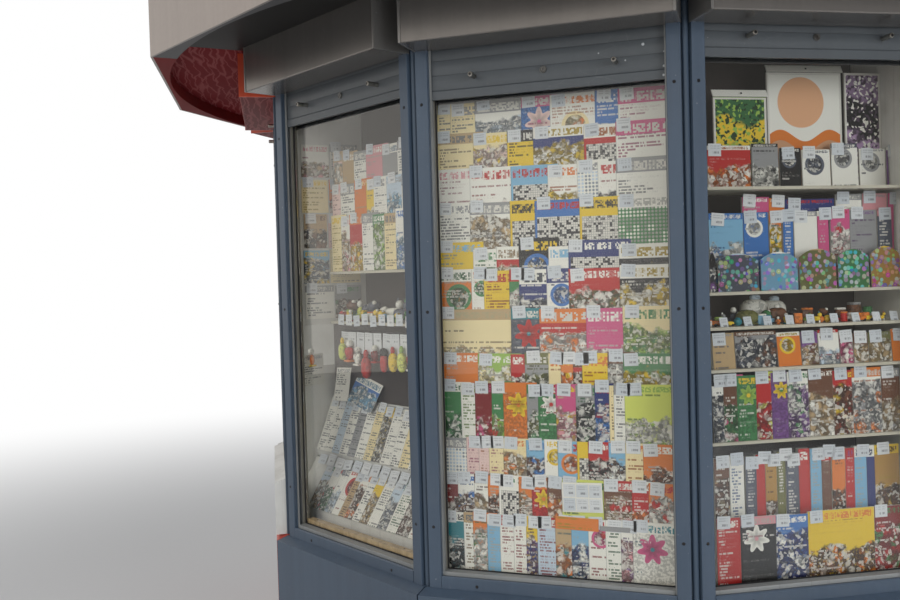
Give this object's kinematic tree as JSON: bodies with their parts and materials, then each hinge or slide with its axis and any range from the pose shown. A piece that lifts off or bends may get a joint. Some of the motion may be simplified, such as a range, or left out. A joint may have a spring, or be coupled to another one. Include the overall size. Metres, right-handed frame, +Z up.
{
  "type": "street kiosk",
  "caption": "Twelve-sided street kiosk with glazed display windows, part-lowered roller shutters and a flat projecting canopy with a recessed soffit.",
  "frame": {"origin": "centre of the twelve-sided plan, on the ground", "axes": "+Z up; -Y out of the front window facet; -X out of the serving hatch, +X out of the door"},
  "size_m": [3.496, 3.496, 2.938],
  "materials": {
    "grey_paint": "satin blue-grey powder coat, lightly scuffed",
    "red_paint": "satin orange-red powder coat",
    "grey_cap": "satin blue-grey end cap",
    "red_cap": "satin orange-red end cap",
    "grey_soffit": "glossy blue-grey composite sheet",
    "red_soffit": "glossy dark red composite sheet",
    "grey_rim": "satin blue-grey edge sheet",
    "red_rim": "satin red edge sheet",
    "grey_slats": "satin blue-grey shutter slats with chips at their ends",
    "red_slats": "satin orange-red shutter slats",
    "pale_fascia": "pale warm grey fascia sheet",
    "post_paint": "satin blue-grey post and cover bead",
    "frame_steel": "dark primer on steel sections",
    "lock_metal": "dull steel",
    "jamb_paint": "pale grey glazing section",
    "gasket_rubber": "black glazing gasket",
    "clear_glass": "clear float glass",
    "floor_board": "sealed plywood and joists",
    "batten_wood": "stained softwood batten",
    "white_board": "white laminated board",
    "roof_sheet": "grey coated roof sheet",
    "door_paint": "satin blue-grey door"
  },
  "bodies": {
    "root": {"base_frame": "frame_steel", "base_panels_grey": "grey_paint", "base_panels_red": "red_paint", "canopy_rim_grey": "grey_rim", "canopy_rim_red": "red_rim", "ceiling_panel": "white_board", "corner_beads": "post_paint", "corner_posts": "post_paint", "cross_rails": "frame_steel", "display_backs": "white_board", "display_end": "white_board", "display_shelves": "white_board", "display_sides": "white_board", "door_frame": "door_paint", "door_handle": "lock_metal", "door_hinges": "lock_metal", "door_leaf": "door_paint", "fascia_caps": "pale_fascia", "fascia_panels": "pale_fascia", "floor_joists": "floor_board", "floor_panel": "floor_board", "frame_sills_grey": "grey_paint", "frame_sills_red": "red_paint", "frame_stiles_grey": "grey_paint", "frame_stiles_red": "red_paint", "glass_panes": "clear_glass", "glazing_gaskets": "gasket_rubber", "hanging_rails": "frame_steel", "hatch_bars": "jamb_paint", "ledge_boxes": "white_board", "magazine_racks": "white_board", "news_racks": "white_board", "pelmet_boards": "frame_steel", "roof_cap": "roof_sheet", "roof_hips": "roof_sheet", "roof_panels": "roof_sheet", "roof_ribs": "frame_steel", "shutter_boxes_grey": "grey_paint", "shutter_boxes_red": "red_paint", "shutter_end_caps_grey": "grey_cap", "shutter_end_caps_red": "red_cap", "shutter_locks": "lock_metal", "shutter_slats_grey": "grey_slats", "shutter_slats_red": "red_slats", "soffit_grey": "grey_soffit", "soffit_red": "red_soffit", "window_battens": "batten_wood", "window_jambs": "jamb_paint"}
  },
  "joints": []
}
